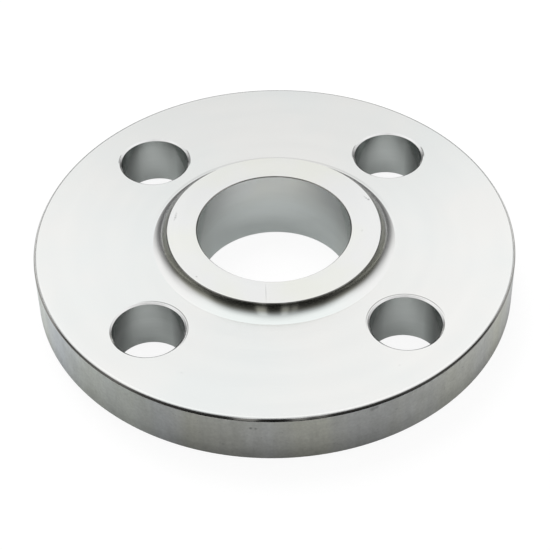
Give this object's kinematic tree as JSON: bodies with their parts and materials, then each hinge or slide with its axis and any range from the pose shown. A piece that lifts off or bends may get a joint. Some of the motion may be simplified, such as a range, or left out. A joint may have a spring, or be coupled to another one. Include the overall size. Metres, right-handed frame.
{
  "type": "slip on flange",
  "caption": "Flat round steel pipe flange with a low hub, a plain bore that slips over the pipe, a raised gasket face and a ring of bolt holes.",
  "frame": {"origin": "centre of the bore on the raised gasket face, the lowest point of the part", "axes": "+Z along the bore from the gasket face to the hub; +X and +Y each run midway between two bolt holes"},
  "size_m": [0.11, 0.11, 0.018],
  "materials": {
    "steel": "stainless steel, fine turned faces, duller rim"
  },
  "bodies": {
    "root": {"flange": "steel"}
  },
  "joints": []
}
